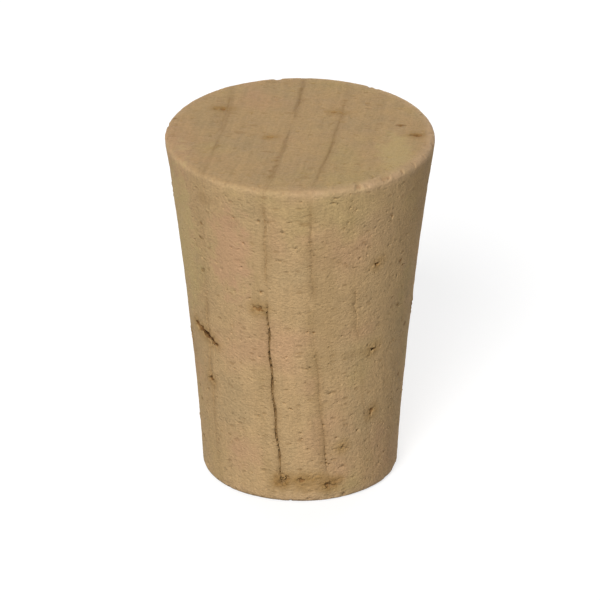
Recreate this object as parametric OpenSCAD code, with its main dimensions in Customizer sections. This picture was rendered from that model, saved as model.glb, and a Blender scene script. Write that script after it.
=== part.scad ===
// Tapered stopper cut in one piece from natural cork bark. It stands on its small end.
// The origin is the centre of the small end, and Z runs along the stopper.
// X runs outwards through the bark, across its growth rings. Its breathing channels, the lenticels,
// run that way too: they open as pits on the two X sides, as slots on the flanks between them, and
// as short stripes on the wide end.

/* [Stopper] */
// Diameter of the wide end
wide_d = 18; // [14:0.1:26]
// Diameter of the small end
small_d = 12.9; // [9:0.1:13.5]
// Length from end to end
length = 24.2; // [18:0.1:36]
// How far the side hollows in, half way up, from a straight taper
hollow = 0.25; // [0:0.01:0.45]
// Radius that the wide end's rim is worn to
wide_rim_r = 0.4; // [0.1:0.05:0.9]
// Radius that the small end's rim is worn to
small_rim_r = 0.35; // [0.1:0.05:0.9]

/* [Growth rings] */
// Distance from the middle of the trunk to the stopper's axis
trunk_r = 120; // [60:5:300]
// Thickness of one year's growth
ring_gap = 3.2; // [2.5:0.05:5]
// Distance from the axis to the next ring on the trunk's side
ring_offset = 1.8; // [0.5:0.05:2.4]
// Lean of the rings from the axis, in degrees
ring_lean = 2.4; // [0:0.1:5]
// Width of the fine groove where a ring's edge has shrunk
line_w = 0.14; // [0.06:0.01:0.3]
// Depth of that groove
line_deep = 0.15; // [0.05:0.01:0.4]

/* [Crack] */
// Width of the open crack at its widest
crack_w = 0.24; // [0.1:0.02:0.6]
// Depth of the crack
crack_deep = 0.6; // [0.2:0.05:1.5]
// Height at which the crack starts
crack_low = 1.2; // [0.5:0.1:3]
// Height of the crack from end to end
crack_tall = 13.6; // [6:0.1:14.5]

/* [Lenticels] */
// How many lenticels open on each X side
side_pores = 10; // [0:1:18]
// Mean depth of a side lenticel's pit
pit_deep = 0.9; // [0.3:0.1:2]
// Mean width of a pit's mouth
pit_w = 0.7; // [0.3:0.05:1.4]
// Mean height of a pit's mouth
pit_h = 1.1; // [0.3:0.05:2]
// How many lenticels open on the back flank
back_slots = 6; // [0:1:12]
// Mean length of a slot on the back flank
slot_long = 1.9; // [0.5:0.1:4]
// Mean height of a slot's mouth
slot_h = 0.5; // [0.2:0.05:1]

/* [Hidden] */
$fn = 120;

// Overlap that takes a cut clean through the surface
past = 0.5;
// Steps in the round of a rim, and up the hollow of the side
rim_steps = 5;
side_steps = 8;
// Corners of a lenticel's outline, how far they stray, and the share of it left at the two tips
outline_corners = 11;
ragged = 0.16;
tip_share = 0.3;
// Stations along a ring's groove, the share of its width left at both tips, and how far it strays
line_stations = 9;
line_tip_share = 0.2;
line_stray = 0.09;
// Ends of the stopper's length that scattered lenticels keep clear of, as shares of it
clear_low = 0.08;
clear_high = 0.95;

// Lenticels on the front flank: place as shares of the half width and of the length, then the
// length and height of the mouth, and its slope in degrees
FRONT_SLOTS = [
    [-0.18, 0.08, 1.1, 0.9, 0],
    [0.29, 0.05, 1.0, 0.7, 0],
    [0.06, 0.10, 1.6, 0.3, 4],
    [-0.35, 0.61, 0.8, 0.5, 0],
    [-0.81, 0.47, 1.9, 0.5, -40],
    [-0.81, 0.34, 0.7, 0.6, 0],
    [0.64, 0.45, 1.5, 0.5, 25],
    [0.69, 0.25, 0.5, 0.7, 0],
    [0.63, 0.73, 0.7, 0.4, 0]
];
// Lenticels on the wide end: place as shares of its radius, then length and width of the mouth
END_SLOTS = [
    [0.28, 0.33, 0.8, 0.3],
    [-0.22, -0.06, 0.7, 0.3],
    [0.82, 0.04, 1.1, 0.5],
    [-0.58, 0.40, 1.4, 0.3]
];

// Grooves along the growth rings on the front flank and on the back flank: which ring, counted from
// the one that cracked, then the low and high end as shares of the length
FRONT_LINES = [[-1, 0.22, 0.58], [0, 0.70, 0.94], [1, 0.04, 0.48], [2, 0.14, 0.52]];
BACK_LINES = [[-1, 0.28, 0.60], [0, 0.38, 0.78], [1, 0.06, 0.44], [1, 0.60, 0.92], [2, 0.30, 0.74]];
// Grooves along the growth rings on the wide end: which ring, then the front and back end as shares
// of the end's radius
END_LINES = [[-1, -0.52, 0.30], [0, -0.78, -0.10], [1, -0.60, 0.44], [2, -0.30, 0.62]];

wide_r = wide_d / 2;
small_r = small_d / 2;

// Radius of the side at a height
function side_r(z) =
    small_r + (wide_r - small_r) * z / length - 4 * hollow * z / length * (1 - z / length);

// Outward lean of the side at a height, in degrees
function side_lean(z) =
    atan((wide_r - small_r - 4 * hollow * (1 - 2 * z / length)) / length);

// A value between two others that jumps about evenly as i counts up
function mixed(low, high, i, step, start) =
    let (turn = start + i * step)
    low + (high - low) * (turn - floor(turn));

// Place of a growth ring along X, from its place at the middle of the stopper
function ring_x(x, y, z) = sqrt(pow(trunk_r + x, 2) - y * y) - trunk_r - tan(ring_lean) * (z - length / 2);

// Point on the flank at a share of the half width and of the length, in front (-1) or behind (1)
function flank_point(across, up, face) =
    side_r(up * length) * [across, face * sqrt(1 - across * across), 0] + [0, 0, up * length];

// Points of a round, from one direction in which its surface faces to another
function arc(centre, r, from, to) = [
    for (i = [0 : rim_steps])
        let (a = from + (to - from) * i / rim_steps)
        centre + r * [cos(a), sin(a)]
];

// Point at a depth under the side, at a height
function under_side(z, deep) = [side_r(z) - deep / cos(side_lean(z)), z];

// Points up the side at a depth, between two heights but for the two ends
function up_side(deep, low, high) = [
    for (i = [1 : side_steps - 1])
        under_side(low + (high - low) * i / side_steps, deep)
];

// Half section of the stopper
function half_section() =
    let (low = small_rim_r, high = length - wide_rim_r)
    concat(
        [[0, 0]],
        arc(under_side(low, small_rim_r), small_rim_r, -90, -side_lean(low)),
        up_side(0, low, high),
        arc(under_side(high, wide_rim_r), wide_rim_r, -side_lean(high), 90),
        [[0, length]]
    );

// The smooth stopper
module blank() {
    rotate_extrude() polygon(half_section());
}

// What is left of the stopper when a skin of some depth is taken off it
module core(skin) {
    low = skin;
    high = length - skin;
    rotate_extrude()
        polygon(concat(
            [[0, low], under_side(low, skin)],
            up_side(skin, low, high),
            [under_side(high, skin), [0, high]]
        ));
}

// Outline of a groove that follows a growth ring, from the points of its middle line
function groove_outline(middle, wide) =
    let (
        last = len(middle) - 1,
        half = [for (i = [0 : last])
            wide / 2 * (line_tip_share + (1 - line_tip_share) * sin(180 * i / last))]
    )
    concat(
        [for (i = [0 : last]) middle[i] + [half[i], 0]],
        [for (i = [last : -1 : 0]) middle[i] - [half[i], 0]]
    );

// A groove along a ring on the front flank (-1) or the back one (1), between two heights
module flank_groove(ring, face, low, high, wide, deep) {
    stray = rands(-line_stray, line_stray, line_stations + 1, 10 * ring + 7 * face + high);
    middle = [for (i = [0 : line_stations])
        let (z = low + (high - low) * i / line_stations)
        [ring_x(ring * ring_gap - ring_offset, side_r(z), z) + stray[i], z]];
    difference() {
        translate([0, face > 0 ? wide_r + past : 0, 0])
            rotate([90, 0, 0])
                linear_extrude(height = wide_r + past)
                    polygon(groove_outline(middle, wide));
        core(deep);
    }
}

// A groove along a ring on the wide end, between two distances to the back of the axis
module end_groove(ring, front, back) {
    stray = rands(-line_stray, line_stray, line_stations + 1, 10 * ring + back);
    middle = [for (i = [0 : line_stations])
        let (y = front + (back - front) * i / line_stations)
        [ring_x(ring * ring_gap - ring_offset, y, length) + stray[i], y]];
    translate([0, 0, length - line_deep])
        linear_extrude(height = line_deep + past)
            polygon(groove_outline(middle, line_w));
}

// The crack that opened along one ring, and the fine grooves along the others
module ring_lines() {
    flank_groove(0, -1, crack_low, crack_low + crack_tall, crack_w, crack_deep);
    for (line = FRONT_LINES)
        flank_groove(line[0], -1, line[1] * length, line[2] * length, line_w, line_deep);
    for (line = BACK_LINES)
        flank_groove(line[0], 1, line[1] * length, line[2] * length, line_w, line_deep);
    for (line = END_LINES)
        end_groove(line[0], line[1] * wide_r, line[2] * wide_r);
}

// Ragged oval
module ragged_oval(wide, tall, seed) {
    stray = rands(1 - ragged, 1 + ragged, outline_corners, seed);
    polygon([
        for (i = [0 : outline_corners - 1])
            let (a = 360 * i / outline_corners)
            stray[i] / 2 * [wide * cos(a), tall * sin(a)]
    ]);
}

// A lenticel, a ragged spindle that runs along X and narrows to both tips
module lenticel(place, long, wide, tall, slope, seed) {
    translate(place)
        rotate([0, -slope, 0])
            rotate([90, 0, 90])
                for (half = [0, 1])
                    mirror([0, 0, half])
                        linear_extrude(height = long / 2, scale = tip_share)
                            ragged_oval(wide, tall, seed);
}

module front_lenticels() {
    for (i = [0 : len(FRONT_SLOTS) - 1]) {
        slot = FRONT_SLOTS[i];
        lenticel(flank_point(slot[0], slot[1], -1), slot[2], slot[3], slot[3], slot[4], i);
    }
}

// Slots scattered up the back flank
module back_lenticels() {
    for (i = [0 : 1 : back_slots - 1]) {
        up = clear_low + (clear_high - clear_low) * (i + mixed(0.2, 0.8, i, 0.38, 0.5)) / back_slots;
        across = mixed(-0.6, 0.6, i, 0.62, 0.1);
        size = mixed(0.6, 1.4, i, 0.76, 0.3);
        slope = mixed(-8, 8, i, 0.57, 0.7);
        lenticel(flank_point(across, up, 1), slot_long * size, slot_h, slot_h * size, slope, i);
    }
}

// Pits scattered up one X side, which faces 1 (away from the trunk) or -1 (towards it)
module side_lenticels(face) {
    for (i = [0 : 1 : side_pores - 1]) {
        up = clear_low + (clear_high - clear_low) * (i + mixed(0.1, 0.9, i, 0.38, 0.3 * face)) / side_pores;
        angle = mixed(-14, 50, i, 0.62, 0.45 + 0.2 * face);
        size = 0.55 + pow(mixed(0, 1, i, 0.76, 0.5 + 0.1 * face), 2);
        place = [face * side_r(up * length) * cos(angle), side_r(up * length) * sin(angle), up * length];
        lenticel(place, 2 * pit_deep * size, pit_w * size, pit_h * size, 0, i);
    }
}

// Short stripes where lenticels lie in the wide end's face
module end_lenticels() {
    for (i = [0 : len(END_SLOTS) - 1]) {
        slot = END_SLOTS[i];
        lenticel([slot[0] * wide_r, slot[1] * wide_r, length], slot[2], slot[3], slot[3], 0, i);
    }
}

// The whole stopper, one solid
module stopper() {
    color("burlywood")
        difference() {
            blank();
            ring_lines();
            front_lenticels();
            back_lenticels();
            side_lenticels(1);
            side_lenticels(-1);
            end_lenticels();
        }
}

stopper();
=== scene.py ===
"""A tapered stopper of natural cork, on a pale studio floor.

The stopper is modelled in millimetres, and brought to its real size in metres at the end.
X runs outwards through the bark, across its growth rings, and the lenticels run that way too.
"""
import math

import bpy
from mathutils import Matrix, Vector
from mathutils.bvhtree import BVHTree


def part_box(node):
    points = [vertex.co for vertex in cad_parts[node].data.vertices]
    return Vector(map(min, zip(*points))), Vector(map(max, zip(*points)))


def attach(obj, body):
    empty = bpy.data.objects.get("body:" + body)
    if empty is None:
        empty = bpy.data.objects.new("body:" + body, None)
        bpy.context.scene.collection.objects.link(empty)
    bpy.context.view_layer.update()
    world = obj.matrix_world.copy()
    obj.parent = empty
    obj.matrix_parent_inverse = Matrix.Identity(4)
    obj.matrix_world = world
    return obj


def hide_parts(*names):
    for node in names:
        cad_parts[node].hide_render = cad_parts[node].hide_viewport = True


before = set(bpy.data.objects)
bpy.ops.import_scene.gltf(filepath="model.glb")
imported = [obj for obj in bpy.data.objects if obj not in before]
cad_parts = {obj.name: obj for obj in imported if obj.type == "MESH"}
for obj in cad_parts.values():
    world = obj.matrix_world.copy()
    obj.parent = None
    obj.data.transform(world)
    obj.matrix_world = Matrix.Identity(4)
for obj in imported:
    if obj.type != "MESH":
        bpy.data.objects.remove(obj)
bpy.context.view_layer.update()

# ---------------------------------------------------------------- sizes, in millimetres

MM = 0.001
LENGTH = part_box("stopper")[1].z / MM
WIDE_R = 9.0
SMALL_R = 6.45
HOLLOW = 0.25
WIDE_RIM = 0.42
SMALL_RIM = 0.36
# Corners round the blank, bands up its side, and steps round its rims.
SIDES = 180
BANDS = 12
RIM_STEPS = 5
# Width and height of the waves that the knife leaves.
KNIFE_WIDE = 4.0
KNIFE_HIGH = 0.08
# How near a point is to a height to count as on it.
LEVEL = 0.01

# Radius of the trunk, the places of the growth rings on the axis, and which of them cracked.
TRUNK_R = 120.0
RINGS = (-9.0, -5.3, -0.7, 2.35, 4.9, 8.3)
CRACKED = 2
# How far the rings are turned about the axis, how far they lean from it, and how far they bow out
# towards both ends. The pith is the middle of the trunk.
RING_TURN = math.radians(8.5)
RING_LEAN = math.radians(1.9)
RING_BOW = 0.4
PITH = (-TRUNK_R * math.cos(RING_TURN), TRUNK_R * math.sin(RING_TURN))
# Width of the grooves along the rings, how far they stray, and their depth on the wide end.
LINE_WIDE = 0.15
LINE_STRAY = 0.05
END_LINE_DEEP = 0.05
CRACK_WIDE = 0.17
CRACK_DEEP = 0.22

# A lenticel of the front flank: place as shares of the half width and of the length, then the
# length, depth and height of its mouth, and its slope in degrees.
FRONT_SLOTS = (
    (-0.19, 0.066, 0.9, 0.35, 0.8, 0),
    (0.32, 0.050, 0.9, 0.3, 0.5, 0),
    (0.06, 0.075, 1.4, 0.15, 0.3, 4),
    (-0.35, 0.61, 0.8, 0.35, 0.5, 0),
    (-0.85, 0.47, 2.6, 3.2, 0.5, -26),
    (-0.83, 0.33, 0.6, 0.5, 0.5, 0),
    (0.66, 0.455, 1.3, 0.4, 0.35, 8),
    (0.69, 0.25, 0.5, 0.3, 0.6, 0),
    (0.41, 0.165, 0.5, 0.15, 0.4, 0),
    (0.64, 0.73, 0.7, 0.2, 0.35, 0),
)
# A lenticel of the wide end: place as shares of its radius, then the length and width of its mouth.
END_SLOTS = (
    (0.28, 0.36, 0.8, 0.3),
    (-0.22, -0.06, 0.6, 0.25),
    (0.85, -0.03, 0.9, 0.5),
    (-0.57, 0.43, 1.1, 0.35),
)
# A ring's groove on a flank: the ring, its ends along the length, then its depth.
FRONT_LINES = (
    (1, 0.22, 0.58, 0.06),
    (2, 0.70, 0.94, 0.07),
    (3, 0.04, 0.48, 0.045),
    (3, 0.66, 0.95, 0.045),
    (4, 0.50, 0.66, 0.045),
)
BACK_LINES = (
    (1, 0.28, 0.60, 0.07),
    (2, 0.38, 0.78, 0.07),
    (3, 0.06, 0.44, 0.07),
    (3, 0.60, 0.92, 0.07),
    (4, 0.30, 0.74, 0.07),
)
# A ring's groove on the wide end: the ring, then its ends as shares of the end's radius.
END_LINES = ((1, 0.04, 0.60), (2, -0.80, -0.56), (2, 0.28, 0.78), (3, -0.74, 0.33))
# Ends of the crack along the length.
CRACK = (0.05, 0.63)

# Shares of the length between which scattered lenticels lie.
LENTICELS_LOW = 0.08
LENTICELS_SPAN = 0.87
# Length, depth and height of a mean pit on a side, and of a mean slot on the back.
PIT = (1.1, 0.8, 1.1)
SLOT = (1.9, 0.5, 0.5)
# The three lobes of a lenticel: size, and place along and up it, as shares of its own size.
LOBES = ((1.0, 0.0, 0.0), (0.6, 0.34, 0.22), (0.5, -0.32, -0.26))

# How far the dirt round a lenticel, the dirt along a line, and the wear and painted highlight of a
# rim reach.
HALO_WIDE = 0.6
LINE_HALO = 0.45
RIM_WEAR_AND_HIGHLIGHT_WIDE = 0.8
# Size of a face while the stopper is cut, and how many it keeps.
VOXEL = 0.065
FACES = 190_000


def side_r(z, hollow=HOLLOW):
    """Radius of the side at a height. Half way up it lies a little inside a straight taper."""
    up = z / LENGTH
    return SMALL_R + (WIDE_R - SMALL_R) * up - 4 * hollow * up * (1 - up)


def mixed(low, high, i, step, start):
    """A value between two others that jumps about evenly as i counts up."""
    return low + (high - low) * ((start + i * step) % 1.0)


def ring_x(ring, y, z):
    """Place of a growth ring along X, on a shell round the trunk that leans and bows a little."""
    from_middle = z - LENGTH / 2
    shell_r = TRUNK_R + RINGS[ring] - math.tan(RING_LEAN) * from_middle
    shell_r += RING_BOW * (2 * from_middle / LENGTH) ** 2
    return PITH[0] + math.sqrt(shell_r ** 2 - (y - PITH[1]) ** 2)


# ---------------------------------------------------------------- small helpers


def alone(obj):
    """Selects one object and nothing else."""
    bpy.ops.object.select_all(action="DESELECT")
    obj.select_set(True)
    bpy.context.view_layer.objects.active = obj
    return obj


def added(name):
    """Names the primitive that was just added."""
    obj = bpy.context.object
    obj.name = name
    return obj


def placed(obj):
    """Puts an object's place, turn and size into its mesh."""
    alone(obj)
    bpy.ops.object.transform_apply(location=True, rotation=True, scale=True)
    return obj


def joined(name, parts):
    """Joins parts into one object, each with its own loose piece of mesh."""
    alone(parts[0])
    for part in parts:
        part.select_set(True)
    bpy.ops.object.join()
    return added(name)


def apply_modifier(obj, kind, **values):
    modifier = obj.modifiers.new(kind.title(), kind)
    for key, value in values.items():
        setattr(modifier, key, value)
    alone(obj)
    bpy.ops.object.modifier_apply(modifier=modifier.name)


def select_edges(obj, test):
    """Edit mode with the edges selected whose middle passes the test."""
    alone(obj)
    bpy.ops.object.mode_set(mode="EDIT")
    bpy.ops.mesh.select_mode(type="EDGE")
    bpy.ops.mesh.select_all(action="DESELECT")
    bpy.ops.object.mode_set(mode="OBJECT")
    mesh = obj.data
    for edge in mesh.edges:
        a, b = (mesh.vertices[i].co for i in edge.vertices)
        edge.select = test((a + b) / 2)
    bpy.ops.object.mode_set(mode="EDIT")


def clouds(name, size, depth=2):
    """A soft noise for Displace, with lumps of a size in millimetres."""
    texture = bpy.data.textures.new(name, "CLOUDS")
    texture.noise_scale = size
    texture.noise_depth = depth
    return texture


def spots(name, size, low, high, depth=2):
    """Noise that is 0 in scattered spots and 1 between them."""
    texture = clouds(name, size, depth)
    texture.use_color_ramp = True
    first, last = texture.color_ramp.elements
    first.position, first.color = low, (0, 0, 0, 1)
    last.position, last.color = high, (1, 1, 1, 1)
    return texture


def even_mesh(obj, voxel):
    """Remakes an object's mesh with faces of one size."""
    obj.data.remesh_voxel_size = voxel
    alone(obj)
    bpy.ops.object.voxel_remesh()


def near(obj, name, target, reach, part="FACE"):
    """A vertex group of the points near a target: 1 on it, and 0 from a reach outwards."""
    group = obj.vertex_groups.new(name=name)
    group.add(range(len(obj.data.vertices)), 1.0, "REPLACE")
    apply_modifier(obj, "VERTEX_WEIGHT_PROXIMITY", vertex_group=name, target=target,
                   proximity_mode="GEOMETRY", proximity_geometry={part}, min_dist=reach, max_dist=0)
    return name


# ---------------------------------------------------------------- the cut blank


def make_blank():
    """A cone with rims rounded off by wear, drawn in band by band so that its side hollows."""
    bpy.ops.object.select_all(action="DESELECT")
    bpy.ops.mesh.primitive_cone_add(
        vertices=SIDES, radius1=SMALL_R, radius2=WIDE_R, depth=LENGTH, location=(0, 0, LENGTH / 2))
    blank = placed(added("blank"))
    for z, rim in ((LENGTH, WIDE_RIM), (0.0, SMALL_RIM)):
        select_edges(blank, lambda p: abs(p.z - z) < LEVEL and p.xy.length > 0.9 * SMALL_R)
        bpy.ops.mesh.bevel(offset=rim, segments=RIM_STEPS, profile=0.5)
        bpy.ops.object.mode_set(mode="OBJECT")
    heights = [LENGTH * band / BANDS for band in range(1, BANDS)]
    bpy.ops.object.mode_set(mode="EDIT")
    for z in heights:
        bpy.ops.mesh.select_all(action="SELECT")
        bpy.ops.mesh.bisect(plane_co=(0, 0, z), plane_no=(0, 0, 1))
    bpy.ops.object.mode_set(mode="OBJECT")
    for z in heights:
        waist = side_r(z) / side_r(z, hollow=0)
        select_edges(blank, lambda p: abs(p.z - z) < LEVEL)
        bpy.ops.transform.resize(value=(waist, waist, 1), center_override=(0, 0, z))
        bpy.ops.object.mode_set(mode="OBJECT")
    even_mesh(blank, 2 * VOXEL)
    apply_modifier(blank, "DISPLACE", texture=clouds("knife_waves", KNIFE_WIDE),
                   strength=KNIFE_HIGH, texture_coords="LOCAL")
    return blank


# ---------------------------------------------------------------- lenticels


def copy_of(pattern, place, size, slope):
    """A copy of a pattern, with its own mesh, at a size and place and turned by a slope."""
    alone(pattern)
    bpy.ops.object.duplicate()
    copy = added(pattern.name + "_copy")
    copy.location, copy.scale, copy.rotation_euler = place, size, (0, -slope, 0)
    return placed(copy)


def make_spindle():
    """The pattern for the lenticels: one millimetre across, and drawn out to blunt tips along X."""
    bpy.ops.object.select_all(action="DESELECT")
    bpy.ops.mesh.primitive_ico_sphere_add(subdivisions=3, radius=0.5)
    spindle = added("spindle")
    alone(spindle)
    bpy.ops.object.mode_set(mode="EDIT")
    bpy.ops.mesh.select_all(action="SELECT")
    bpy.ops.transform.resize(value=(1, 0.9, 0.9), center_override=(0, 0, 0))
    bpy.ops.object.mode_set(mode="OBJECT")
    return spindle


def make_lenticel(place, long, deep, tall, slope=0.0):
    """What one pit or slot takes out: a spindle along X with two smaller ones at its sides."""
    place, slope = Vector(place), math.radians(slope)
    parts = []
    for share, along, up in LOBES:
        along, up = along * long, up * tall
        offset = Vector((along * math.cos(slope) - up * math.sin(slope), 0,
                         along * math.sin(slope) + up * math.cos(slope)))
        size = (long * share, deep * share, tall * share)
        parts.append(copy_of(spindle, place + offset, size, slope))
    return joined("lenticel", parts)


def flank_point(across, up, face):
    """A point on the front (-1) or back (1) flank, at shares of the half width and the length."""
    r = side_r(up * LENGTH)
    return Vector((across * r, face * r * math.sqrt(1 - across * across), up * LENGTH))


def front_lenticels():
    return [make_lenticel(flank_point(across, up, -1), long, deep, tall, slope)
            for across, up, long, deep, tall, slope in FRONT_SLOTS]


def back_lenticels(count=6):
    """Slots scattered up the back flank."""
    made = []
    for i in range(count):
        up = LENTICELS_LOW + LENTICELS_SPAN * (i + mixed(0.2, 0.8, i, 0.38, 0.5)) / count
        across = mixed(-0.6, 0.6, i, 0.62, 0.1)
        size = mixed(0.6, 1.4, i, 0.76, 0.3)
        slope = mixed(-8, 8, i, 0.57, 0.7)
        place = flank_point(across, up, 1)
        made.append(make_lenticel(place, SLOT[0] * size, SLOT[1], SLOT[2] * size, slope))
    return made


def side_lenticels(face, count=10):
    """Pits scattered up one X side, which faces outwards (1) or in towards the trunk (-1)."""
    made = []
    for i in range(count):
        up = LENTICELS_LOW + LENTICELS_SPAN * (i + mixed(0.1, 0.9, i, 0.38, 0.3 * face)) / count
        angle = math.radians(mixed(-14, 50, i, 0.62, 0.45 + 0.2 * face))
        size = 0.55 + mixed(0, 1, i, 0.76, 0.5 + 0.1 * face) ** 2
        r = side_r(up * LENGTH)
        place = (face * r * math.cos(angle), r * math.sin(angle), up * LENGTH)
        made.append(make_lenticel(place, *(size * measure for measure in PIT)))
    return made


def end_lenticels():
    return [make_lenticel((x * WIDE_R, y * WIDE_R, LENGTH), long, wide, wide)
            for x, y, long, wide in END_SLOTS]


def make_lenticels():
    """All the lenticels that the knife opened, as one ragged cutter."""
    lenticels = joined("lenticels", front_lenticels() + back_lenticels() + side_lenticels(1)
                       + side_lenticels(-1) + end_lenticels())
    even_mesh(lenticels, VOXEL)
    apply_modifier(lenticels, "DISPLACE", texture=clouds("ragged", 0.4, 4), strength=0.5,
                   texture_coords="LOCAL")
    return lenticels


# ---------------------------------------------------------------- growth ring grooves


def make_groove(path, inwards, wide, deep):
    """A groove's cutter: a four-cornered section, extruded from point to point along a path.

    Its width swells and shrinks on the way, and narrows at both ends.
    """
    steps = len(path) - 1
    share = []
    for i in range(steps + 1):
        taper = 0.4 + 0.6 * math.sin(math.pi * i / steps) ** 0.4
        share.append(taper * (1 + 0.2 * math.sin(5.1 * i + wide * 90)))
    bpy.ops.object.select_all(action="DESELECT")
    bpy.ops.mesh.primitive_circle_add(vertices=4, fill_type="NGON", radius=1)
    groove = added("groove")
    corners = ((0.6, -1), (0.3, 1), (-0.3, 1), (-0.6, -1))
    for vertex, (side, depth) in zip(groove.data.vertices, corners):
        vertex.co = path[0] + Vector((side * wide * share[0], 0, 0)) + inwards * depth * deep
    bpy.ops.object.mode_set(mode="EDIT")
    bpy.ops.mesh.select_all(action="SELECT")
    for i in range(steps):
        bpy.ops.mesh.extrude_region_move(TRANSFORM_OT_translate={"value": path[i + 1] - path[i]})
        bpy.ops.transform.resize(value=(share[i + 1] / share[i], 1, 1), center_override=path[i + 1])
    bpy.ops.mesh.select_all(action="SELECT")
    bpy.ops.mesh.normals_make_consistent(inside=False)
    bpy.ops.object.mode_set(mode="OBJECT")
    return groove


def flank_groove(ring, face, low, high, deep, wide=LINE_WIDE, steps=22):
    """A groove up the front (-1) or back (1) flank, where a growth ring comes out."""
    path = []
    for i in range(steps + 1):
        z = LENGTH * (low + (high - low) * i / steps)
        r = side_r(z)
        x = 0.0
        for _ in range(4):
            # Each round brings the place on the ring nearer to the flank.
            x = ring_x(ring, face * math.sqrt(r * r - x * x), z)
        x += LINE_STRAY * math.sin(7 * i + 5 * ring + face)
        path.append(Vector((x, face * math.sqrt(r * r - x * x), z)))
    return make_groove(path, Vector((0, -face, 0)), wide, deep)


def end_groove(ring, front, back, steps=16):
    """A shallower groove across the wide end."""
    path = []
    for i in range(steps + 1):
        y = WIDE_R * (front + (back - front) * i / steps)
        x = ring_x(ring, y, LENGTH) + LINE_STRAY * math.sin(7 * i + ring)
        path.append(Vector((x, y, LENGTH)))
    return make_groove(path, Vector((0, 0, -1)), LINE_WIDE, END_LINE_DEEP)


def make_grooves():
    """The crack along one growth ring, and the fine grooves along the others."""
    parts = [flank_groove(CRACKED, -1, *CRACK, CRACK_DEEP, CRACK_WIDE, steps=40)]
    parts += [flank_groove(ring, -1, low, high, deep) for ring, low, high, deep in FRONT_LINES]
    parts += [flank_groove(ring, 1, low, high, deep) for ring, low, high, deep in BACK_LINES]
    parts += [end_groove(ring, front, back) for ring, front, back in END_LINES]
    return joined("grooves", parts)


def make_ring(radius, z):
    """A bare circle along a rim."""
    bpy.ops.object.select_all(action="DESELECT")
    bpy.ops.mesh.primitive_circle_add(vertices=SIDES, radius=radius, location=(0, 0, z))
    return placed(added("ring"))


# ---------------------------------------------------------------- what the finish needs to know


def tree_of(obj):
    """The object's surface, ready for the nearest point on it to be asked."""
    mesh = obj.data
    return BVHTree.FromPolygons([v.co for v in mesh.vertices], [p.vertices for p in mesh.polygons])


def mark_surface(stopper):
    """Keeps four values on each point: its depth below the blank's skin, how near it is to a
    lenticel and to a groove, and how near it is to a rim, for the rim's wear and painted highlight."""
    skin, pits, lines = tree_of(blank), tree_of(lenticels), tree_of(grooves)
    marks = {"depth": [], "near_pit": [], "near_line": [], "worn": []}
    for vertex in stopper.data.vertices:
        point, normal, _, gap = skin.find_nearest(vertex.co)
        marks["depth"].append(gap if (vertex.co - point).dot(normal) < 0 else 0)
        gap = pits.find_nearest(vertex.co)[3]
        marks["near_pit"].append(max(0, 1 - gap / HALO_WIDE))
        gap = lines.find_nearest(vertex.co)[3]
        marks["near_line"].append(max(0, 1 - gap / LINE_HALO))
        rim = min(math.hypot(vertex.co.xy.length - r, vertex.co.z - z)
                  for r, z in ((WIDE_R, LENGTH), (SMALL_R, 0)))
        marks["worn"].append(max(0, 1 - rim / RIM_WEAR_AND_HIGHLIGHT_WIDE))
    for name, values in marks.items():
        stopper.data.attributes.new(name, "FLOAT", "POINT").data.foreach_set("value", values)


# ---------------------------------------------------------------- the stopper

blank = make_blank()
spindle = make_spindle()
lenticels = make_lenticels()
grooves = make_grooves()

alone(blank)
bpy.ops.object.duplicate()
stopper = added("cork_stopper")
for cutter in (lenticels, grooves):
    apply_modifier(stopper, "BOOLEAN", object=cutter, operation="DIFFERENCE", solver="MANIFOLD")
even_mesh(stopper, VOXEL)
rims = joined("rims", [make_ring(WIDE_R, LENGTH), make_ring(SMALL_R, 0)])
bpy.ops.object.select_all(action="DESELECT")
bpy.ops.object.empty_add()
grain = added("grain")
grain.scale = (2.5, 1, 1)
# Crumbs all over, crumbly walls by the lenticels, chips in the rims, and pores drawn out along X.
for texture, strength, middle, group, coords in (
        (clouds("crumb", 0.5), 0.03, 0.5, "", "LOCAL"),
        (clouds("crumbly", 0.22, 3), 0.25, 0.5, near(stopper, "by_pits", lenticels, 0.35), "LOCAL"),
        (spots("chips", 0.9, 0.28, 0.40, 3), 0.16, 1.0,
         near(stopper, "by_rims", rims, 0.6, "EDGE"), "LOCAL"),
        (spots("pores", 0.22, 0.17, 0.25, 2), 0.12, 1.0, "", "OBJECT")):
    apply_modifier(stopper, "DISPLACE", texture=texture, strength=strength, mid_level=middle,
                   vertex_group=group, texture_coords=coords, texture_coords_object=grain)
apply_modifier(stopper, "DECIMATE", ratio=FACES / (2 * len(stopper.data.polygons)))
bpy.ops.object.shade_smooth()
for vertex in stopper.data.vertices:
    vertex.co.z = max(0, vertex.co.z)
mark_surface(stopper)
for helper in (blank, spindle, lenticels, grooves, rims, grain):
    bpy.data.objects.remove(helper)
stopper.scale = (MM, MM, MM)
placed(stopper)
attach(stopper, "root")
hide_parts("stopper")

# ---------------------------------------------------------------- the cork's finish


def srgb(red, green, blue):
    """A colour read off a screen, made linear."""
    return tuple((c / 255 / 12.92) if c <= 10 else ((c / 255 + 0.055) / 1.055) ** 2.4
                 for c in (red, green, blue)) + (1.0,)


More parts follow.
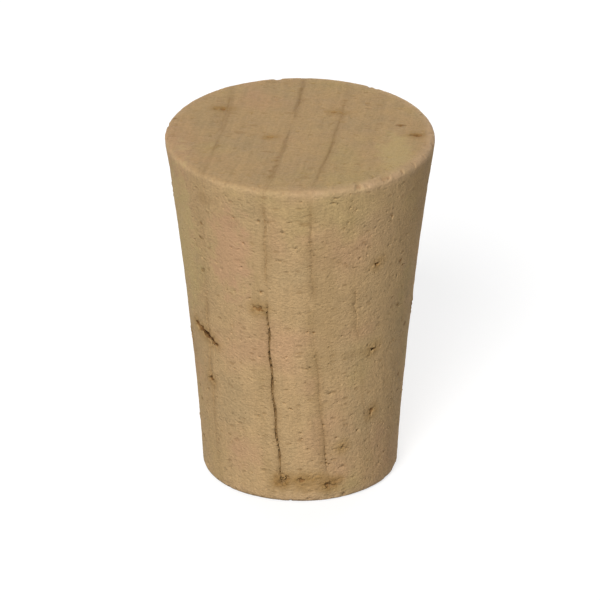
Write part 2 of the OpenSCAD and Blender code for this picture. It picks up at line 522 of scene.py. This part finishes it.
class Nodes:
    """Nodes that are added to a tree one after another, each fed by sockets or plain values."""

    def __init__(self, tree):
        self.tree = tree

    def feed(self, socket, value):
        """Links a socket to another, or sets it to a value."""
        if isinstance(value, bpy.types.NodeSocket):
            self.tree.links.new(value, socket)
        elif value is not None:
            socket.default_value = value

    def node(self, kind, *values, **settings):
        """Adds a node with its settings, and feeds its inputs in order."""
        node = self.tree.nodes.new("ShaderNode" + kind)
        for key, value in settings.items():
            setattr(node, key, value)
        for socket, value in zip(node.inputs, values):
            self.feed(socket, value)
        return node

    def math(self, operation, *values):
        return self.node("Math", *values, operation=operation).outputs[0]

    def plus(self, first, second):
        return self.math("ADD", first, second)

    def minus(self, first, second):
        return self.math("SUBTRACT", first, second)

    def times(self, first, second):
        return self.math("MULTIPLY", first, second)

    def vector(self, operation, *values):
        return self.node("VectorMath", *values, operation=operation).outputs[0]

    def ramp(self, value, low, high, to_low=0.0, to_high=1.0, kind="SMOOTHSTEP"):
        """A smooth change from one value to another."""
        node = self.node("MapRange", value, low, high, to_low, to_high, interpolation_type=kind)
        return node.outputs[0]

    def noise(self, where, size, detail=2.0, rough=0.5):
        """Soft noise from 0 to 1, with lumps of a size in the units of its place."""
        node = self.node("TexNoise", where)
        node.inputs["Scale"].default_value = 1 / size
        node.inputs["Detail"].default_value = detail
        node.inputs["Roughness"].default_value = rough
        return node.outputs["Fac"]

    def mix(self, share, first, second):
        """From the first colour to the second one, by a share from 0 to 1."""
        node = self.node("Mix", data_type="RGBA")
        self.feed(node.inputs["Factor"], share)
        self.feed(node.inputs[6], first)
        self.feed(node.inputs[7], second)
        return node.outputs[2]

    def shade(self, colour, brightness):
        """A colour made lighter or darker by a value round 1."""
        grey = self.node("CombineXYZ", *[brightness] * 3).outputs[0]
        return self.vector("MULTIPLY", colour, grey)

    def specks(self, where, apart, share, radius, ragged):
        """Scattered specks, 1 at their middles: how far apart they may lie, what share of the
        places hold one, their radius, and how ragged their outline is."""
        stray = self.node("TexNoise", where)
        stray.inputs["Scale"].default_value = 3.0 / apart
        stray.inputs["Detail"].default_value = 4.0
        stray.inputs["Roughness"].default_value = 0.7
        shift = self.vector("SUBTRACT", stray.outputs["Color"], (0.5, 0.5, 0.5))
        shift = self.vector("MULTIPLY", shift, (ragged, ragged, ragged))
        cell = self.node("TexVoronoi", self.vector("ADD", where, shift))
        cell.inputs["Scale"].default_value = 1 / apart
        chance = self.node("SeparateColor", cell.outputs["Color"]).outputs[0]
        reach = self.ramp(chance, 1 - share, 1.0, 0.0, radius / apart, "LINEAR")
        gap = self.math("SUBTRACT", reach, cell.outputs["Distance"])
        return self.ramp(gap, -0.25 * radius / apart, 0.45 * radius / apart)

    def stain(self, where, centre, reach, ragged):
        """A blot: 1 in its middle, fading raggedly to 0 at its reach along each axis."""
        gap = self.vector("DIVIDE", self.vector("SUBTRACT", where, centre), reach)
        gap = self.node("VectorMath", gap, operation="LENGTH").outputs["Value"]
        fringe = self.times(self.minus(self.noise(where, 0.9, 4.0, 0.65), 0.5), ragged)
        return self.ramp(self.plus(gap, fringe), 1.0, 0.35)

    def attribute(self, name):
        return self.node("Attribute", attribute_name=name).outputs["Fac"]

    def seen(self):
        """1 where a ray comes straight from the camera, off a gloss or through glass."""
        path = self.node("LightPath").outputs
        return self.math("MAXIMUM", path["Is Camera Ray"],
                         self.math("MAXIMUM", path["Is Glossy Ray"], path["Is Transmission Ray"]))


def material(name):
    """A new material, with its nodes and its Principled BSDF."""
    made = bpy.data.materials.new(name)
    made.use_nodes = True
    return made, Nodes(made.node_tree), made.node_tree.nodes["Principled BSDF"]


BODY = srgb(183, 152, 110)
PALE = srgb(190, 159, 116)
LATE = srgb(170, 141, 99)
LINE = srgb(149, 119, 79)
PINK = srgb(194, 153, 118)
STRAW = srgb(182, 160, 108)
DULL = srgb(176, 151, 112)
SUNNY = srgb(195, 170, 119)
STAIN = srgb(152, 117, 66)
FLECK = srgb(128, 91, 45)
CRACK_EDGE = srgb(157, 127, 85)
CRACK_DARK = srgb(137, 108, 70)
DUST = srgb(148, 112, 68)
PIT_FLOOR = srgb(124, 84, 48)
WORN_AND_HIGHLIGHT = srgb(200, 167, 134)
# How much of each colour the ends keep beside the side: partly as their cut grain is darker, and
# partly as painted shade on the ends, which the lamps light more than the side.
END_GRAIN_AND_SHADE = (0.81, 0.79, 0.735, 1.0)

# A tint that lies on one place alone: its colour and strength, then its middle and its reach in mm.
TINTS = (
    (STAIN, 0.42, (0.6, -6.5, 1.6), (3.2, 3.0, 1.05)),
    (FLECK, 0.52, (-1.2, -6.3, 1.6), (0.7, 2.0, 0.75)),
    (FLECK, 0.47, (2.1, -6.1, 1.2), (0.6, 2.0, 0.65)),
    (LINE, 0.30, (3.2, -6.3, 11.1), (1.9, 2.0, 0.5)),
    (LINE, 0.35, (-6.3, -6.0, 22.2), (0.7, 2.0, 0.8)),
    (LINE, 0.30, (-4.5, -7.3, 21.3), (0.6, 2.0, 0.8)),
    # Painted highlight: a pale band down the right of the front flank, just inside its shaded edge.
    (PALE, 0.45, (5.3, -6.4, 17.5), (1.0, 3.0, 7.0)),
    (LATE, 0.5, (1.7, -8.0, 14.5), (1.5, 3.0, 9.5)),
    (SUNNY, 0.75, (-8.3, -3.0, 17.5), (2.3, 4.8, 8.5)),
    (PINK, 0.7, (-4.7, -7.0, 18.5), (2.0, 3.0, 4.5)),
    (PINK, 0.4, (-3.6, -5.6, 3.6), (1.6, 2.0, 1.8)),
    (PALE, 0.5, (-2.6, -8.5, 18.0), (0.9, 3.0, 4.5)),
    (STRAW, 0.5, (6.3, -3.0, LENGTH), (1.5, 4.0, 0.6)),
)


def cork_finish():
    """Cut cork: growth rings, patches, grain, specks, local tints with a painted highlight, dirt,
    pits, ends darkened by their grain and by painted shade, and rims lightened by wear and by a
    painted highlight.
    """
    cork, f, shader = material("cork")
    place = f.node("Mapping", f.node("TexCoord").outputs["Object"], vector_type="POINT")
    place.inputs["Scale"].default_value = (1 / MM, 1 / MM, 1 / MM)
    place = place.outputs[0]
    x, y, z = f.node("SeparateXYZ", place).outputs
    end = f.math("MAXIMUM", f.ramp(z, LENGTH - 0.3, LENGTH - 0.05), f.ramp(z, 0.3, 0.05))
    side = f.times(f.ramp(f.math("ABSOLUTE", x), 2.5, 5.0), f.minus(1.0, end))

    # Rings: how far out through the bark a point lies, and that counted in rings.
    across = f.math("POWER", f.minus(x, PITH[0]), 2.0)
    out = f.math("SQRT", f.plus(across, f.math("POWER", f.minus(y, PITH[1]), 2.0)))
    from_middle = f.minus(z, LENGTH / 2)
    bow = f.times(f.times(from_middle, from_middle), RING_BOW * (2 / LENGTH) ** 2)
    lean = f.minus(f.times(from_middle, math.tan(RING_LEAN)), bow)
    stray = f.times(f.minus(f.noise(place, 3.0, detail=3.0), 0.5), 0.4)
    out = f.minus(f.plus(f.plus(out, lean), stray), TRUNK_R)
    ring = 0.0
    for inner, outer in zip(RINGS, RINGS[1:]):
        ring = f.plus(f.ramp(out, inner, outer, kind="LINEAR"), ring)
    within = f.math("FRACT", ring)
    to_line = f.math("ABSOLUTE", f.minus(ring, f.math("ROUND", ring)))

    # Within a ring the cork is pale at first, and turns darker shortly before the next line. That
    # dark band comes and goes, and is faint on the ends and on the X sides.
    along = f.node("CombineXYZ", f.times(out, 2.0), f.times(y, 0.16), f.times(z, 0.10)).outputs[0]
    streak = f.noise(along, 1.0, detail=5.0, rough=0.65)
    wobble = f.times(f.minus(f.noise(place, 0.7, detail=4.0, rough=0.65), 0.5), 0.35)
    late = f.times(f.ramp(f.plus(within, wobble), 0.64, 0.94), f.ramp(within, 1.0, 0.985))
    late = f.times(late, f.ramp(f.noise(along, 1.6, detail=1.0), 0.36, 0.6, 0.3, 0.9))
    fading = f.noise(f.vector("ADD", place, (0, 0, 30)), 4.5)
    late = f.times(late, f.ramp(fading, 0.4, 0.58, 0.3, 1.0))
    late = f.times(late, f.ramp(end, 0.0, 1.0, 1.0, 0.3))
    late = f.times(late, f.ramp(side, 0.0, 1.0, 1.0, 0.3))
    colour = f.mix(f.ramp(streak, 0.4, 0.65, 0.0, 0.75), PALE, BODY)
    colour = f.mix(late, colour, LATE)

    # Broad patches of pink, straw and a duller tan.
    for tone, size, shift, most in ((PINK, 6.0, (0, 0, 0), 0.55), (STRAW, 5.0, (40, 0, 0), 0.45),
                                    (DULL, 4.0, (0, 40, 0), 0.45)):
        patch = f.noise(f.vector("ADD", place, shift), size, detail=3.0)
        patch = f.ramp(patch, 0.5, 0.72, 0.0, most)
        colour = f.mix(patch, colour, tone)

    # The rings' own lines, which come and go.
    broken = f.ramp(f.noise(along, 0.8), 0.38, 0.62, 0.2, 1.0)
    wide = f.ramp(end, 0.0, 1.0, 0.045, 0.08)
    line = f.times(f.ramp(to_line, 0.01, wide, 1.0, 0.0), broken)
    line = f.times(line, f.ramp(end, 0.0, 1.0, 0.27, f.ramp(x, 2.8, 4.0, 0.55, 0.12)))
    colour = f.mix(line, colour, LINE)

    # Fine grain, a mottle, streaks and fibres make it lighter and darker.
    grain = f.noise(f.vector("MULTIPLY", place, (0.8, 1.0, 1.0)), 0.17, detail=3.0, rough=0.65)
    mottle = f.noise(place, 1.2, detail=4.0, rough=0.6)
    fibre = f.noise(f.vector("MULTIPLY", along, (3.0, 2.0, 2.5)), 1.0, detail=3.0, rough=0.6)
    sway = f.ramp(end, 0.0, 1.0, 0.04, 0.07)
    light = f.plus(f.ramp(grain, 0.32, 0.68, -0.09, 0.09), f.ramp(mottle, 0.3, 0.7, 0.95, 1.05))
    light = f.plus(light, f.ramp(streak, 0.3, 0.7, f.times(sway, -1.0), sway))
    light = f.plus(light, f.ramp(fibre, 0.3, 0.7, -0.035, 0.035))
    colour = f.shade(colour, light)
    # The ends are darker, partly by their cut grain and partly by painted shade.
    colour = f.vector("MULTIPLY", colour, f.mix(end, (1.0, 1.0, 1.0, 1.0), END_GRAIN_AND_SHADE))

    # Fine pepper and larger flecks, drawn out along X. The flecks are fewer on the flanks.
    drawn_out = f.vector("MULTIPLY", place, (0.55, 1.0, 1.25))
    pepper = f.specks(drawn_out, apart=0.42, share=0.55, radius=0.16, ragged=0.12)
    elsewhere = f.vector("ADD", drawn_out, (7, 3, 5))
    fleck = f.specks(elsewhere, apart=1.2, share=0.42, radius=0.26, ragged=0.5)
    fleck = f.times(fleck, f.ramp(f.math("ABSOLUTE", x), 4.0, 7.5, 0.4, 1.0))
    colour = f.mix(f.times(pepper, 0.26), colour, FLECK)
    colour = f.mix(f.times(fleck, 0.85), colour, FLECK)

    # Local tints; one of them, the pale band down the right of the front, is a painted highlight.
    for tone, most, centre, reach in TINTS:
        colour = f.mix(f.times(f.stain(place, centre, reach, ragged=1.7), most), colour, tone)

    # Dirt round the lenticels and lines, and the colour inside them, by how deep the surface lies.
    halo = f.times(f.attribute("near_pit"), f.ramp(grain, 0.35, 0.62, 0.45, 1.0))
    colour = f.mix(f.times(halo, 0.65), colour, STAIN)
    near_line = f.attribute("near_line")
    soil = f.times(f.ramp(near_line, 0.0, 1.0), f.ramp(mottle, 0.3, 0.7, 0.38, 0.12))
    colour = f.mix(soil, colour, LINE)
    depth = f.attribute("depth")
    crumbs = f.ramp(f.noise(place, 0.3, detail=4.0, rough=0.7), 0.35, 0.65, -0.12, 0.12)
    in_pit = f.mix(f.ramp(f.plus(depth, crumbs), 0.08, 0.5), DUST, PIT_FLOOR)
    in_crack = f.mix(f.ramp(depth, 0.05, 0.25), CRACK_EDGE, CRACK_DARK)
    inside = f.mix(f.ramp(near_line, 0.6, 0.7), in_pit, in_crack)
    colour = f.mix(f.ramp(depth, 0.045, 0.13), colour, inside)
    # The rims are lighter: partly by wear, and partly by a painted highlight that makes them
    # lighter towards +X.
    worn = f.times(f.attribute("worn"), f.ramp(mottle, 0.3, 0.7, 0.3, 0.5))
    worn = f.times(worn, f.ramp(x, -5.0, 5.0, 0.5, 1.6))
    colour = f.mix(worn, colour, WORN_AND_HIGHLIGHT)

    f.feed(shader.inputs["Base Color"], colour)
    f.feed(shader.inputs["Roughness"], f.ramp(mottle, 0.3, 0.7, 0.74, 0.92))
    shader.inputs["Specular IOR Level"].default_value = 0.15
    height = f.plus(f.times(grain, 0.09), f.times(streak, 0.05))
    height = f.minus(height, f.times(pepper, 0.02))
    height = f.minus(height, f.times(fleck, 0.05))
    bump = f.node("Bump")
    bump.inputs["Distance"].default_value = MM
    f.feed(bump.inputs["Height"], height)
    f.feed(shader.inputs["Normal"], bump.outputs[0])
    return cork


stopper.data.materials.clear()
stopper.data.materials.append(cork_finish())

# ---------------------------------------------------------------- stage, light and camera

FLOOR_GLOW = 0.70
AMBIENT = 0.2


def floor_finish():
    """A pale floor that takes the stopper's shadow, and looks nearly white to the camera."""
    floor_material, f, shader = material("floor")
    shader.inputs["Base Color"].default_value = (0.35, 0.35, 0.35, 1)
    shader.inputs["Roughness"].default_value = 0.9
    shader.inputs["Emission Color"].default_value = (1, 1, 1, 1)
    f.feed(shader.inputs["Emission Strength"], f.math("MULTIPLY", f.seen(), FLOOR_GLOW))
    return floor_material


def make_world():
    """Even light from all round, seen as plain white behind the floor."""
    world = bpy.data.worlds.new("studio")
    bpy.context.scene.world = world
    world.use_nodes = True
    f = Nodes(world.node_tree)
    background = world.node_tree.nodes["Background"]
    f.feed(background.inputs["Color"], (1, 1, 1, 1))
    f.feed(background.inputs["Strength"], f.ramp(f.seen(), 0.0, 1.0, AMBIENT, 1.0))


def make_sun(name, azimuth, elevation, strength, softness):
    """A soft lamp far away: azimuth is turned from the front to the left, elevation is above the
    floor, and both and the softness are in degrees."""
    bpy.ops.object.select_all(action="DESELECT")
    bpy.ops.object.light_add(
        type="SUN", rotation=(math.radians(90 - elevation), 0, math.radians(-azimuth)))
    sun = added(name)
    sun.data.energy = strength
    sun.data.angle = math.radians(softness)


bpy.ops.object.select_all(action="DESELECT")
bpy.ops.mesh.primitive_plane_add(size=2.0, location=(0, 0, 0))
floor = added("floor")
floor.data.materials.append(floor_finish())
make_world()
make_sun("key", azimuth=15, elevation=38, strength=2.95, softness=25)
make_sun("back_fill", azimuth=150, elevation=12, strength=1.2, softness=40)
make_sun("side_fill", azimuth=-155, elevation=4, strength=2.3, softness=40)

AIM = Vector((0, 0, 0.0119))
DISTANCE = 1.0
ELEVATION = math.radians(26)
bpy.ops.object.select_all(action="DESELECT")
bpy.ops.object.camera_add(
    location=AIM + DISTANCE * Vector((0, -math.cos(ELEVATION), math.sin(ELEVATION))),
    rotation=(math.pi / 2 - ELEVATION, 0, 0))
camera = added("camera")
camera.data.lens = 900
camera.data.sensor_width = 36
camera.data.clip_start = 0.01
camera.data.clip_end = 10
bpy.context.scene.camera = camera
bpy.context.scene.view_settings.view_transform = "Standard"
